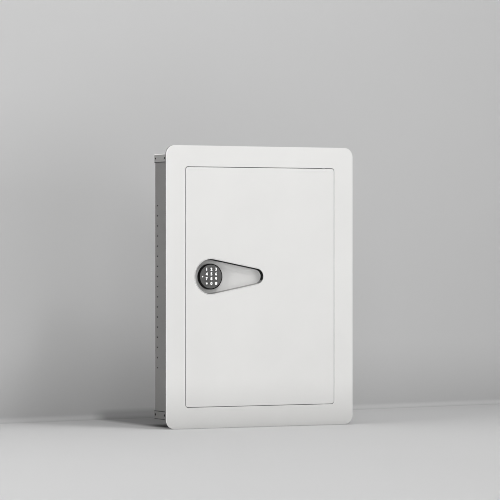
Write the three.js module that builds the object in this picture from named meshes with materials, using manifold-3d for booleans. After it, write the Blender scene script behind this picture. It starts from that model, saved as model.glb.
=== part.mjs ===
// In-wall safe: a shallow steel case that stands between two wall studs, with a flush painted door,
// a teardrop hand recess and a round keypad knob that throws three bolts.
// Millimetres. +X is right and -Y is towards the room as the user faces the door, +Z is up.
// The origin is the centre of the wall opening, in the plane of the wall's surface.
import * as THREE from "three";
import { mergeVertices } from "three/addons/utils/BufferGeometryUtils.js";
import Module from "manifold-3d";

const wasm = await Module();
wasm.setup();

// ---------------------------------------------------------------- driving dimensions
const GAP = 0.15; // clearance between sheets that are welded or laid together

// Trim frame around the door
const TRIM = { w: 410, h: 553, corner: 18.5, front: -4, sheet: 2, rim: 2 };
const OPENING = { w: 327.5, h: 471, corner: 6 };

// Case behind the wall's surface
const CASE = { w: 367, h: 523, back: 101, sheet: 1.5, capSheet: 1, capLip: 16.5 };
const SHELF_HOLE = { radius: 1.7, pitch: 20, rows: 17, rearY: 88, frontY: 44 };
const STUD_HOLE = { radius: 4.6, y: 46.5, z: 211.5 };
const WELD_HOLE = { radius: 2, drop: 8.9, y: [13, 51.5, 95] };

// Door jambs
const JAMB = { sheet: 1.5, keeper: 7.5, back: 38.5, stop: 14.5, hingeRoom: 25 };

// Door
const DOOR_GAP = 1.2;
const DOOR = { front: -4, plate: 3, corner: 5 };
const DOOR_W = OPENING.w - 2 * DOOR_GAP;
const DOOR_H = OPENING.h - 2 * DOOR_GAP;
const TRAY = { left: -157.8, right: 136.2, halfHeight: 224, sheet: 1.5, back: 33 };
const COVER_SHEET = 1.2;
const HINGE = { x: 142.5, y: 2.5, pin: 2.5, pinTop: 244 };
const HINGE_BUSH = { barrel: 3.7, length: 6, flange: 4.3, flangeHeight: 1.2 };

// Teardrop recess and knob
const KNOB_X = -108.2;
const KNOB_Z = 20.3;
const CUP_FACETS = 16; // steps in each arc of the recess
const RECESS = { big: 34.3, small: 15.4, length: 98.4, floor: 6, wall: 1.5, flange: 8 };
const KNOB = { radius: 25.4, front: -2.5, back: 5.5 };
const SPINDLE = { radius: 6, bore: 2.5, start: 1.2, end: 32.6 };
const SPINDLE_BUSH = { barrel: 8.9, flange: 13, front: 6, back: 20 };
const KEY = { radius: 3.9, well: 4.2, front: -3, back: -0.5, wellFloor: 0.3 };
const KEYPAD = { pitchX: 10.1, pitchZ: 9.3, centreX: 1, centreZ: 0.6 };
const LED = { x: -17.8, radius: 1.1 };

// Bolt work
const BOLT = { radius: 8, y: 16.5, tip: -161.3, root: -121.3, z: [158, 0, -158] };
const BOLT_THROW = 12;
const BAR = { left: -143.3, right: -117.3, front: 24.7, back: 27.2, halfHeight: 185 };
const GUIDE = { x: -137.3, z: 110, foot: 6, neck: 3, head: 6.5 };
const SOLENOID = { x: -137.3, z: 75, size: 18, front: 0, back: 23.5 };
const PLUNGER = { radius: 2.8, start: 10, end: 24.2 };
const CAM = { radius: 29, front: 28.2, back: 31.2, start: 11, slotHalf: 2.8 };
const FOLLOWER_RADIUS = 2.5;

// Inside
const SHELF = { sheet: 1.5, frontLip: 12, rearLip: 9.5, front: 41.5, back: 97, halfWidth: 179.2 };
const SHELF_ROWS = [4, -4]; // hole rows, counted from the middle, that carry the shelves
const CLIP = { peg: 1.4, sheet: 1.2, low: -5, ledge: 3, reach: 12, front: 41.6, back: 91 };
const LINER = { room: 0.5, top: 3 };
const BATTERY = { x: 75, cells: 4, radius: 7.3, length: 50.5, y: 24.6 };
const RESET = { x: BATTERY.x, z: 44, radius: 3.4, start: 27.7, end: 35.8, wellFloor: 26 };

// ---------------------------------------------------------------- materials
function finish(color, roughness, metalness) {
  return new THREE.MeshStandardMaterial({ color, roughness, metalness });
}

const MATERIAL = {
  paint: finish(0xe6e5e2, 0.5, 0),
  recess: finish(0xd6d6d3, 0.5, 0),
  caseSteel: finish(0x7e7d7b, 0.55, 0.4),
  innerSteel: finish(0x8d8c8a, 0.55, 0.3),
  brightSteel: finish(0xc4c6c8, 0.3, 0.9),
  darkPlastic: finish(0x55565a, 0.5, 0),
  key: finish(0x4a4b4e, 0.6, 0),
  lens: finish(0xf4f6f8, 0.2, 0),
  rubber: finish(0x222222, 0.9, 0),
  felt: finish(0x3f4144, 1, 0),
  brass: finish(0xb58f4d, 0.4, 0.8),
  blackPlastic: finish(0x26272a, 0.6, 0),
  cell: finish(0x2d5d46, 0.4, 0.2),
  resetRed: finish(0xa83228, 0.5, 0),
};

// ---------------------------------------------------------------- geometry helpers
function bare(geometry) {
  const plain = geometry.index ? geometry.toNonIndexed() : geometry.clone();
  plain.deleteAttribute("normal");
  plain.deleteAttribute("uv");
  return mergeVertices(plain, 1e-4);
}

function toSolid(geometry) {
  const g = bare(geometry);
  return new wasm.Manifold(
    new wasm.Mesh({
      numProp: 3,
      vertProperties: Float32Array.from(g.attributes.position.array),
      triVerts: Uint32Array.from(g.index.array),
    }),
  );
}

function toGeometry(solid) {
  const made = solid.getMesh();
  const geometry = new THREE.BufferGeometry();
  geometry.setAttribute("position", new THREE.BufferAttribute(made.vertProperties, 3));
  geometry.setIndex(new THREE.BufferAttribute(made.triVerts, 1));
  geometry.computeVertexNormals();
  return geometry;
}

function join(...parts) {
  return toGeometry(parts.map(toSolid).reduce((all, one) => all.add(one)));
}

function cut(base, ...tools) {
  return toGeometry(tools.map(toSolid).reduce((left, tool) => left.subtract(tool), toSolid(base)));
}

// A rectangular block between two limits on each axis.
function block([x0, x1], [y0, y1], [z0, z1]) {
  const g = new THREE.BoxGeometry(Math.abs(x1 - x0), Math.abs(y1 - y0), Math.abs(z1 - z0));
  return g.translate((x0 + x1) / 2, (y0 + y1) / 2, (z0 + z1) / 2);
}

// A round bar along one axis, from one coordinate to another, through the point (a, b) of the other axes.
function rod(axis, radius, from, to, [a, b], sides = 24) {
  const g = new THREE.CylinderGeometry(radius, radius, Math.abs(to - from), sides);
  const middle = (from + to) / 2;
  if (axis === "x") return g.rotateZ(Math.PI / 2).translate(middle, a, b);
  if (axis === "z") return g.rotateX(Math.PI / 2).translate(a, b, middle);
  return g.translate(a, middle, b);
}

// A body turned about an axis along Y through (x, z): the profile lists [radius, y] and closes on itself.
function turned(profile, [x, z], sides = 32) {
  const points = [...profile, profile[0]].map(([r, y]) => new THREE.Vector2(r, y));
  return new THREE.LatheGeometry(points, sides).translate(x, 0, z);
}

// An outline drawn in X and Z, made into a plate between two Y values.
function plate(outline, y0, y1, curveSegments = 8) {
  const g = new THREE.ExtrudeGeometry(outline, { depth: y1 - y0, bevelEnabled: false, curveSegments });
  return g.rotateX(Math.PI / 2).translate(0, y1, 0);
}

// A folded section drawn in X and Y, standing between two Z values.
function upright(corners, [z0, z1]) {
  const outline = new THREE.Shape(corners.map(([x, y]) => new THREE.Vector2(x, y)));
  return new THREE.ExtrudeGeometry(outline, { depth: z1 - z0, bevelEnabled: false }).translate(0, 0, z0);
}

function roundedRectangle(w, h, r) {
  const [x, z] = [w / 2 - r, h / 2 - r];
  const s = new THREE.Shape();
  s.absarc(x, z, r, 0, Math.PI / 2);
  s.absarc(-x, z, r, Math.PI / 2, Math.PI);
  s.absarc(-x, -z, r, Math.PI, 1.5 * Math.PI);
  s.absarc(x, -z, r, 1.5 * Math.PI, 2 * Math.PI);
  return s;
}

// Two circles joined by their outer tangents and grown by an offset: the large one at the knob's axis.
function teardrop(offset) {
  const [big, small] = [RECESS.big + offset, RECESS.small + offset];
  const touch = Math.acos((big - small) / RECESS.length);
  const s = new THREE.Shape();
  s.absarc(KNOB_X, KNOB_Z, big, touch, 2 * Math.PI - touch);
  s.absarc(KNOB_X + RECESS.length, KNOB_Z, small, -touch, touch);
  return s;
}

function mesh(name, geometry, material, position = [0, 0, 0]) {
  const m = new THREE.Mesh(geometry, material);
  m.name = name;
  m.position.set(...position);
  return m;
}

// ---------------------------------------------------------------- case and trim
function trimFrame() {
  const outer = plate(roundedRectangle(TRIM.w, TRIM.h, TRIM.corner), TRIM.front, 0);
  const inside = roundedRectangle(TRIM.w - 2 * TRIM.rim, TRIM.h - 2 * TRIM.rim, TRIM.corner - TRIM.rim);
  const hollow = plate(inside, TRIM.front + TRIM.sheet, 1);
  const doorway = plate(roundedRectangle(OPENING.w, OPENING.h, OPENING.corner), TRIM.front - 1, 1, 6);
  return cut(outer, hollow, doorway);
}

const shellHalfWidth = CASE.w / 2 - CASE.capSheet - GAP;
const shellBack = CASE.back - CASE.capSheet - GAP;
const shellInside = shellHalfWidth - CASE.sheet;
const caseFront = TRIM.front + TRIM.sheet + GAP;

// Both sides and the back, folded from one sheet, with the shelf holes and the holes for the stud screws.
function caseShell() {
  const halfHeight = CASE.h / 2 - CASE.capSheet - GAP;
  const inside = [-shellInside, shellInside];
  const folded = cut(
    block([-shellHalfWidth, shellHalfWidth], [caseFront, shellBack], [-halfHeight, halfHeight]),
    block(inside, [caseFront - 1, shellBack - CASE.sheet], [-halfHeight - 1, halfHeight + 1]),
  );
  const through = [-shellHalfWidth - 1, shellHalfWidth + 1];
  const holes = [];
  for (let i = 0; i < SHELF_HOLE.rows; i++) {
    const z = (i - (SHELF_HOLE.rows - 1) / 2) * SHELF_HOLE.pitch;
    for (const y of [SHELF_HOLE.frontY, SHELF_HOLE.rearY]) {
      holes.push(rod("x", SHELF_HOLE.radius, ...through, [y, z], 8));
    }
  }
  for (const z of [-STUD_HOLE.z, STUD_HOLE.z]) {
    holes.push(rod("x", STUD_HOLE.radius, ...through, [STUD_HOLE.y, z], 16));
  }
  return cut(folded, ...holes);
}

// The top or bottom pan (side +1 or -1), whose lips lap over the outside of the shell.
function caseCap(side) {
  const outerZ = (side * CASE.h) / 2;
  const innerZ = outerZ - side * CASE.capSheet;
  const lipEnd = outerZ - side * CASE.capLip;
  const outside = [-CASE.w / 2, CASE.w / 2];
  const inside = CASE.w / 2 - CASE.capSheet;
  const pan = cut(
    block(outside, [caseFront, CASE.back], [outerZ, lipEnd]),
    block([-inside, inside], [caseFront - 1, CASE.back - CASE.capSheet], [innerZ, lipEnd - side]),
  );
  const holes = WELD_HOLE.y.map((y) =>
    rod("x", WELD_HOLE.radius, outside[0] - 1, outside[1] + 1, [y, outerZ - side * WELD_HOLE.drop], 12),
  );
  return cut(pan, ...holes);
}

// ---------------------------------------------------------------- jambs
const jambX = OPENING.w / 2;
const jambZ = OPENING.h / 2;
const jambStopFront = JAMB.back - JAMB.sheet;
const jambOuterX = shellInside - GAP;
const jambOuterZ = CASE.h / 2 - CASE.capSheet - GAP;
const jambHeight = [-jambZ, jambZ];

// The channel on the lock side. Thrown bolts lie behind its keeper flange, and its rear leg stops the door.
function latchJamb() {
  const { sheet, keeper, back, stop } = JAMB;
  return upright(
    [
      [-jambX, caseFront],
      [-jambX, keeper],
      [-jambOuterX + sheet, keeper],
      [-jambOuterX + sheet, jambStopFront],
      [-jambX + stop, jambStopFront],
      [-jambX + stop, back],
      [-jambOuterX, back],
      [-jambOuterX, keeper - sheet],
      [-jambX - sheet, keeper - sheet],
      [-jambX - sheet, caseFront],
    ],
    jambHeight,
  );
}

function hingeJamb() {
  const wall = block([jambX, jambX + JAMB.sheet], [caseFront, JAMB.back], jambHeight);
  const returnPlate = block([jambX, jambOuterX], [jambStopFront, JAMB.back], jambHeight);
  return join(wall, returnPlate);
}

// The head or sill channel (side +1 or -1). Its stop ends short of the hinge, where the door swings in.
function crossJamb(side) {
  const across = [-jambOuterX, jambOuterX];
  const opening = side * jambZ;
  const wallInner = opening + side * GAP;
  const wallOuter = wallInner + side * JAMB.sheet;
  const wall = block(across, [caseFront, JAMB.back], [wallInner, wallOuter]);
  const returnPlate = block(across, [jambStopFront, JAMB.back], [wallInner, side * jambOuterZ]);
  const stop = block(
    [-jambX + JAMB.stop + GAP, HINGE.x - JAMB.hingeRoom],
    [jambStopFront, JAMB.back],
    [opening - side * JAMB.stop, wallOuter],
  );
  const hingeAxis = [HINGE.x, HINGE.y];
  const bushSeat = rod("z", HINGE_BUSH.barrel + 0.1, opening - side, opening + side * 4, hingeAxis, 20);
  return cut(join(wall, returnPlate, stop), bushSeat);
}

// A flanged bush that drops into the head or sill channel and carries the door's pivot pin.
function hingeBush(side) {
  const seat = side * (jambZ + GAP);
  const shoulder = seat + side * (JAMB.sheet + 0.1);
  const axis = [HINGE.x, HINGE.y];
  const barrel = rod("z", HINGE_BUSH.barrel, seat, seat + side * HINGE_BUSH.length, axis, 20);
  const flange = rod("z", HINGE_BUSH.flange, shoulder, shoulder + side * HINGE_BUSH.flangeHeight, axis, 20);
  const bore = rod("z", HINGE.pin + GAP, seat - side, seat + side * (HINGE_BUSH.length + 1), axis, 20);
  return cut(join(barrel, flange), bore);
}

// The rubber pad on the latch side's stop that the closing door meets.
function doorBumper() {
  return block([-156.5, -150.5], [TRAY.back + COVER_SHEET + 0.3, jambStopFront - 0.05], [-7.5, 7.5]);
}

// ---------------------------------------------------------------- inside of the case
function shelf() {
  const across = [-SHELF.halfWidth, SHELF.halfWidth];
  return join(
    block(across, [SHELF.front, SHELF.back], [0, SHELF.sheet]),
    block(across, [SHELF.front, SHELF.front + SHELF.sheet], [SHELF.sheet - SHELF.frontLip, SHELF.sheet]),
    block(across, [SHELF.back - SHELF.sheet, SHELF.back], [0, SHELF.rearLip]),
  );
}

// A shelf clip: a ledge on a plate with two pegs, for the left (-1) or right (+1) side.
function shelfClip(side) {
  const plateOuter = side * (shellInside - 0.1);
  const plateInner = plateOuter - side * CLIP.sheet;
  const ledgeEnd = side * (shellInside - CLIP.reach);
  const pegs = [SHELF_HOLE.frontY, SHELF_HOLE.rearY].map((y) =>
    rod("x", CLIP.peg, plateInner, side * (shellInside + 1), [y, 0], 10),
  );
  return join(
    block([plateOuter, plateInner], [CLIP.front, CLIP.back], [CLIP.low, CLIP.ledge]),
    block([plateOuter, ledgeEnd], [SHELF.front + 1.7, CLIP.back], [CLIP.ledge - CLIP.sheet, CLIP.ledge]),
    ...pegs,
  );
}

function floorLiner() {
  const half = shellInside - LINER.room;
  const back = shellBack - CASE.sheet - LINER.room;
  return block([-half, half], [JAMB.back + LINER.room, back], [-jambOuterZ + 0.1, -jambOuterZ + LINER.top]);
}

// ---------------------------------------------------------------- door
const doorBack = DOOR.front + DOOR.plate;

function doorPanel() {
  const blank = plate(roundedRectangle(DOOR_W, DOOR_H, DOOR.corner), DOOR.front, doorBack);
  const recessHole = plate(teardrop(RECESS.wall + GAP), DOOR.front - 1, 1, CUP_FACETS);
  return cut(blank, recessHole);
}

// The hand recess: a cast cup whose rim comes through the door plate and finishes flush with it.
function handleCup() {
  const cup = plate(teardrop(RECESS.wall), DOOR.front, RECESS.floor + RECESS.wall, CUP_FACETS);
  const flange = plate(teardrop(RECESS.flange), doorBack + GAP, doorBack + GAP + RECESS.wall, CUP_FACETS);
  const hollow = plate(teardrop(0), DOOR.front - 1, RECESS.floor, CUP_FACETS);
  const knobAxis = [KNOB_X, KNOB_Z];
  const bushHole = rod("y", SPINDLE_BUSH.barrel + GAP, RECESS.floor - 1, RECESS.floor + 3, knobAxis, 24);
  return cut(join(cup, flange), hollow, bushHole);
}

const trayWidth = [TRAY.left, TRAY.right];
const trayHeight = [-TRAY.halfHeight, TRAY.halfHeight];
const COVER_FLANGE = 7;
const screwY = TRAY.back - 3.5;
const screwPlaces = [-110, 90].flatMap((x) => [1, -1].map((side) => ({ x, side })));
const screwHole = ({ x, side }, radius) =>
  rod("z", radius, side * (TRAY.halfHeight - 4), side * (TRAY.halfHeight + 4), [x, screwY], 12);

// The wall that boxes in the lock work behind the door plate.
function doorTray() {
  const t = TRAY.sheet;
  const innerHalf = TRAY.halfHeight - t;
  const walls = cut(
    block(trayWidth, [doorBack + GAP, TRAY.back], trayHeight),
    block([TRAY.left + t, TRAY.right - t], [doorBack - 1, TRAY.back + 1], [-innerHalf, innerHalf]),
  );
  const boltHoles = BOLT.z.map((z) =>
    rod("x", BOLT.radius + 0.3, TRAY.left - 1, TRAY.left + t + 1, [BOLT.y, z], 28),
  );
  return cut(walls, ...boltHoles, ...screwPlaces.map((place) => screwHole(place, 2)));
}

const coverBack = TRAY.back + GAP + COVER_SHEET;
const LID = { halfWidth: 36, halfHeight: 33, sheet: 1.2, travel: 62 };

// The pan that closes the lock work from behind, with a battery window between two rails for its lid.
// Its flanges lap over the tray's walls and are screwed to them above and below.
function doorCover() {
  const grow = GAP + COVER_SHEET;
  const [left, right, top] = [TRAY.left - grow, TRAY.right + grow, TRAY.halfHeight + grow];
  const front = coverBack - COVER_FLANGE;
  const pan = cut(
    block([left, right], [front, coverBack], [-top, top]),
    block(
      [TRAY.left - GAP, TRAY.right + GAP],
      [front - 1, TRAY.back + GAP],
      [-TRAY.halfHeight - GAP, TRAY.halfHeight + GAP],
    ),
  );
  const window = block([BATTERY.x - 30, BATTERY.x + 30], [TRAY.back - 1, coverBack + 1], [-27, 27]);
  const holes = screwPlaces.map((place) => screwHole(place, 2.2));
  const resetHole = rod("y", RESET.radius + 0.4, TRAY.back - 1, coverBack + 1, [RESET.x, RESET.z], 20);
  const rails = [-1, 1].flatMap((side) => {
    const edge = BATTERY.x + side * (LID.halfWidth + 0.4);
    const run = [-LID.halfHeight - LID.travel, LID.halfHeight + 2];
    return [
      block([edge, edge + side * 1.6], [coverBack - 0.2, coverBack + 2.8], run),
      block([edge - side * 1.6, edge + side * 1.6], [coverBack + 1.8, coverBack + 2.8], run),
    ];
  });
  return join(cut(pan, window, resetHole, ...holes), ...rails);
}

function batteryLid() {
  const lid = block(
    [BATTERY.x - LID.halfWidth, BATTERY.x + LID.halfWidth],
    [coverBack + 0.25, coverBack + 0.25 + LID.sheet],
    [-LID.halfHeight, LID.halfHeight],
  );
  const ribs = [0, 4, 8].map((rise) =>
    block([BATTERY.x - 12, BATTERY.x + 12], [coverBack + 1, coverBack + 2.6], [rise - 29, rise - 27.4]),
  );
  return join(lid, ...ribs);
}

// A pan-head screw whose head faces +Y and whose seat is at y = 0.
function panScrew() {
  return turned([[0, -5], [1.7, -5], [1.7, 0], [3.4, 0], [3.4, 1], [2.4, 1.9], [0, 1.9]], [0, 0], 16);
}

// The pivot on the hinge side: a block welded to the door plate with its pin, top (+1) or bottom (-1).
function doorPivot(side) {
  const edge = (side * DOOR_H) / 2;
  return join(
    block([HINGE.x - 6, HINGE.x + 8], [doorBack + GAP, HINGE.y + 5], [edge - side * 20, edge - side * 1]),
    rod("z", HINGE.pin, edge - side * 5, side * HINGE.pinTop, [HINGE.x, HINGE.y], 20),
  );
}

// ---------------------------------------------------------------- knob, in the knob's own axis
const keyPlaces = ["1", "2", "3", "4", "5", "6", "7", "8", "9", "star", "0", "hash"].map((label, i) => ({
  label,
  x: KEYPAD.centreX + ((i % 3) - 1) * KEYPAD.pitchX,
  z: KEYPAD.centreZ + (1.5 - Math.floor(i / 3)) * KEYPAD.pitchZ,
}));

function knobBody() {
  const bevel = 1;
  const drum = turned(
    [
      [0, KNOB.front],
      [KNOB.radius - bevel, KNOB.front],
      [KNOB.radius, KNOB.front + bevel],
      [KNOB.radius, KNOB.back],
      [0, KNOB.back],
    ],
    [0, 0],
    48,
  );
  const wells = keyPlaces.map(({ x, z }) => rod("y", KEY.well, KNOB.front - 1, KEY.wellFloor, [x, z], 16));
  const lensHole = rod("y", LED.radius + GAP, KNOB.front - 1, KNOB.front + 2.2, [LED.x, 0], 12);
  const spindleSocket = rod("y", SPINDLE.radius + 0.1, SPINDLE.start - 0.1, KNOB.back + 1, [0, 0], 24);
  return cut(drum, ...wells, lensHole, spindleSocket);
}

function keyCap() {
  const { radius, front, back } = KEY;
  const bevel = 0.5;
  return turned(
    [[0, front], [radius - bevel, front], [radius, front + bevel], [radius, back], [0, back]],
    [0, 0],
    16,
  );
}

function spindle() {
  const { radius, bore, start, end } = SPINDLE;
  return turned([[bore, start], [radius, start], [radius, end], [bore, end]], [0, 0], 24);
}

// The cam on the spindle. Its slot is a spiral that carries the follower outwards at a steady rate.
function camDisc() {
  const steps = 12;
  const quarter = Math.PI / 2;
  const onSpiral = (share, offset) => {
    const angle = Math.PI - share * quarter;
    const [cos, sin] = [Math.cos(angle), Math.sin(angle)];
    const r = CAM.start + share * BOLT_THROW;
    const slope = BOLT_THROW / quarter;
    const [dx, dz] = [slope * cos + r * sin, slope * sin - r * cos];
    const length = Math.hypot(dx, dz);
    return new THREE.Vector2(r * cos - (offset * dz) / length, r * sin + (offset * dx) / length);
  };
  const side = (offset) => Array.from({ length: steps + 1 }, (_, i) => onSpiral(i / steps, offset));
  const slot = new THREE.Shape([...side(CAM.slotHalf), ...side(-CAM.slotHalf).reverse()]);
  const round = (share) => {
    const c = onSpiral(share, 0);
    return rod("y", CAM.slotHalf, CAM.front - 1, CAM.back + 1, [c.x, c.y], 16);
  };
  return cut(
    rod("y", CAM.radius, CAM.front, CAM.back, [0, 0], 40),
    plate(slot, CAM.front - 1, CAM.back + 1),
    round(0),
    round(1),
    rod("y", SPINDLE.radius + 0.1, CAM.front - 1, CAM.back + 1, [0, 0], 24),
  );
}

function camClip() {
  const [inner, outer] = [SPINDLE.radius + 0.1, 8.6];
  return turned([[inner, 31.4], [outer, 31.4], [outer, 32.3], [inner, 32.3]], [0, 0], 24);
}

// ---------------------------------------------------------------- bolt work and electrics
function spindleBush() {
  const bore = SPINDLE.radius + GAP;
  const { barrel, flange, front, back } = SPINDLE_BUSH;
  const seat = RECESS.floor + RECESS.wall + 0.2;
  const flangeBack = seat + 2;
  return turned(
    [
      [bore, front],
      [barrel, front],
      [barrel, seat],
      [flange, seat],
      [flange, flangeBack],
      [barrel, flangeBack],
      [barrel, back],
      [bore, back],
    ],
    [KNOB_X, KNOB_Z],
    28,
  );
}

function lockBolt() {
  const { radius, tip, root } = BOLT;
  const length = root - tip;
  const nose = 1.5;
  const profile = [[0, 0], [radius, 0], [radius, length - nose], [radius - nose, length], [0, length]];
  return turned(profile, [0, 0], 28).rotateZ(Math.PI / 2).translate(root, BOLT.y, 0);
}

// The sliding bar that carries the bolts, slotted for its guides and the spindle, with the cam's follower.
function boltBar() {
  const level = [BAR.front, BAR.back];
  const deep = [BAR.front - 1, BAR.back + 1];
  const strip = block([BAR.left, BAR.right], level, [-BAR.halfHeight, BAR.halfHeight]);
  const arm = block([BAR.right - 1, KNOB_X + 25], level, [KNOB_Z - 14, KNOB_Z + 14]);
  const slotThrough = (x, z, half) => block([x - half, x + half + BOLT_THROW], deep, [z - half, z + half]);
  const lockHole = (x) => rod("y", PLUNGER.radius + 0.5, ...deep, [x, SOLENOID.z], 20);
  const followerAxis = [KNOB_X - CAM.start, KNOB_Z];
  const follower = rod("y", FOLLOWER_RADIUS, BAR.back - 1, CAM.back - 0.4, followerAxis, 20);
  const slotted = cut(
    join(strip, arm),
    slotThrough(KNOB_X, KNOB_Z, SPINDLE.radius + 0.8),
    slotThrough(GUIDE.x, GUIDE.z, GUIDE.neck + 0.4),
    slotThrough(GUIDE.x, -GUIDE.z, GUIDE.neck + 0.4),
    lockHole(SOLENOID.x),
    lockHole(SOLENOID.x + BOLT_THROW),
  );
  return join(slotted, follower);
}

function guideStud() {
  const { foot, neck, head } = GUIDE;
  const footFront = doorBack + GAP;
  const neckFront = BAR.front - 0.3;
  const headFront = BAR.back + 0.3;
  const headBack = headFront + 2;
  return turned(
    [
      [0, footFront],
      [foot, footFront],
      [foot, neckFront],
      [neck, neckFront],
      [neck, headFront],
      [head, headFront],
      [head, headBack],
      [0, headBack],
    ],
    [GUIDE.x, 0],
    20,
  );
}

function solenoidBody() {
  const { x, z, size, front, back } = SOLENOID;
  const half = size / 2;
  const coil = block([x - half, x + half], [front, back], [z - half, z + half]);
  return cut(coil, rod("y", PLUNGER.radius + 0.2, PLUNGER.start - 1, back + 1, [x, z], 20));
}

function plunger() {
  const { radius, start, end } = PLUNGER;
  const profile = [[0, start], [radius, start], [radius, end - 0.6], [radius - 0.6, end], [0, end]];
  return turned(profile, [SOLENOID.x, SOLENOID.z], 20);
}

const MODULE = { left: -60, right: 20, back: 18, low: -125, high: -65, inset: 2 };

function controlModule() {
  const { left, right, back, low, high, inset } = MODULE;
  const tub = block([left, right], [doorBack + GAP, back], [low, high]);
  const lid = block([left + inset, right - inset], [back - 0.5, back + 2], [low + inset, high - inset]);
  return join(tub, lid);
}

// The lead from the solenoid to the control module, clipped along the back of the door plate.
function solenoidLead() {
  const y = 4;
  const route = new THREE.CatmullRomCurve3([
    new THREE.Vector3(SOLENOID.x + SOLENOID.size / 2 + 0.3, y, SOLENOID.z),
    new THREE.Vector3(-115, y, SOLENOID.z),
    new THREE.Vector3(-60, y + 1, 76),
    new THREE.Vector3(-5, y + 1, 66),
    new THREE.Vector3(24, y, 30),
    new THREE.Vector3(30, y, -30),
    new THREE.Vector3(32, y, -75),
    new THREE.Vector3(30, y, -90),
    new THREE.Vector3(MODULE.right + 0.8, y, -95),
  ]);
  const section = new THREE.Shape();
  section.absarc(0, 0, 1.3, 0, 2 * Math.PI);
  return new THREE.ExtrudeGeometry(section, { steps: 44, extrudePath: route, curveSegments: 4 });
}

const cellPitch = 2 * BATTERY.radius - 0.1;
const boxHalfWidth = (cellPitch * BATTERY.cells) / 2 + 0.6;
const boxHalfHeight = BATTERY.length / 2 + 1.4;

// The moulding that holds the cells, with a turret above them for the reset button.
function batteryBox() {
  const wall = 1.4;
  const [w, h] = [boxHalfWidth + wall, boxHalfHeight + wall];
  const back = TRAY.back - 0.1;
  const tub = block([BATTERY.x - w, BATTERY.x + w], [BATTERY.y - BATTERY.radius - 2, back], [-h, h]);
  const turret = block([RESET.x - 7, RESET.x + 7], [RESET.wellFloor - 6, back], [h - 1, RESET.z + 7]);
  return cut(
    join(tub, turret),
    rod("y", RESET.radius + 0.2, RESET.wellFloor, TRAY.back + 1, [RESET.x, RESET.z], 20),
    block(
      [BATTERY.x - boxHalfWidth, BATTERY.x + boxHalfWidth],
      [BATTERY.y - BATTERY.radius - 0.4, TRAY.back + 1],
      [-boxHalfHeight, boxHalfHeight],
    ),
  );
}

function resetButton() {
  const { radius, start, end } = RESET;
  const profile = [[0, start], [radius, start], [radius, end - 0.6], [radius - 0.6, end], [0, end]];
  return turned(profile, [RESET.x, RESET.z], 20);
}

// Four cells in one sleeve: neighbours meet along a narrow line.
function batteryPack() {
  const cells = [];
  for (let i = 0; i < BATTERY.cells; i++) {
    const x = BATTERY.x + (i - (BATTERY.cells - 1) / 2) * cellPitch;
    cells.push(rod("z", BATTERY.radius, -BATTERY.length / 2, BATTERY.length / 2, [x, BATTERY.y], 20));
  }
  return join(...cells);
}

// ---------------------------------------------------------------- assembly
const housing = new THREE.Group();
housing.add(
  mesh("front_frame", trimFrame(), MATERIAL.paint),
  mesh("case_shell", caseShell(), MATERIAL.caseSteel),
  mesh("case_top_cap", caseCap(1), MATERIAL.caseSteel),
  mesh("case_bottom_cap", caseCap(-1), MATERIAL.caseSteel),
  mesh("jamb_latch_side", latchJamb(), MATERIAL.innerSteel),
  mesh("jamb_hinge_side", hingeJamb(), MATERIAL.innerSteel),
  mesh("jamb_head", crossJamb(1), MATERIAL.innerSteel),
  mesh("jamb_sill", crossJamb(-1), MATERIAL.innerSteel),
  mesh("hinge_bush_top", hingeBush(1), MATERIAL.brass),
  mesh("hinge_bush_bottom", hingeBush(-1), MATERIAL.brass),
  mesh("door_bumper", doorBumper(), MATERIAL.rubber),
  mesh("floor_liner", floorLiner(), MATERIAL.felt),
);
for (const [i, level] of ["upper", "lower"].entries()) {
  const z = SHELF_ROWS[i] * SHELF_HOLE.pitch;
  housing.add(mesh(`shelf_${level}`, shelf(), MATERIAL.innerSteel, [0, 0, z + CLIP.ledge + 0.1]));
  housing.add(mesh(`shelf_clip_${level}_left`, shelfClip(-1), MATERIAL.brightSteel, [0, 0, z]));
  housing.add(mesh(`shelf_clip_${level}_right`, shelfClip(1), MATERIAL.brightSteel, [0, 0, z]));
}

const door = new THREE.Group();
door.add(
  mesh("door_panel", doorPanel(), MATERIAL.paint),
  mesh("handle_cup", handleCup(), MATERIAL.recess),
  mesh("door_tray", doorTray(), MATERIAL.innerSteel),
  mesh("door_cover", doorCover(), MATERIAL.innerSteel),
  mesh("door_pivot_top", doorPivot(1), MATERIAL.brightSteel),
  mesh("door_pivot_bottom", doorPivot(-1), MATERIAL.brightSteel),
  mesh("spindle_bush", spindleBush(), MATERIAL.brass),
  mesh("guide_stud_upper", guideStud(), MATERIAL.brightSteel, [0, 0, GUIDE.z]),
  mesh("guide_stud_lower", guideStud(), MATERIAL.brightSteel, [0, 0, -GUIDE.z]),
  mesh("solenoid_body", solenoidBody(), MATERIAL.blackPlastic),
  mesh("solenoid_plunger", plunger(), MATERIAL.brightSteel),
  mesh("solenoid_lead", solenoidLead(), MATERIAL.blackPlastic),
  mesh("control_module", controlModule(), MATERIAL.blackPlastic),
  mesh("battery_box", batteryBox(), MATERIAL.blackPlastic),
  mesh("battery_pack", batteryPack(), MATERIAL.cell),
  mesh("battery_lid", batteryLid(), MATERIAL.blackPlastic),
  mesh("reset_button", resetButton(), MATERIAL.resetRed),
);
screwPlaces.forEach(({ x, side }, i) => {
  const seat = side * (TRAY.halfHeight + COVER_SHEET + 2 * GAP);
  const screw = mesh(`cover_screw_${i + 1}`, panScrew(), MATERIAL.brightSteel, [x, screwY, seat]);
  screw.rotation.x = (side * Math.PI) / 2;
  door.add(screw);
});

const boltWork = new THREE.Group();
boltWork.add(mesh("bolt_bar", boltBar(), MATERIAL.brightSteel));
["upper", "middle", "lower"].forEach((place, i) =>
  boltWork.add(mesh(`lock_bolt_${place}`, lockBolt(), MATERIAL.brightSteel, [0, 0, BOLT.z[i]])),
);

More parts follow.
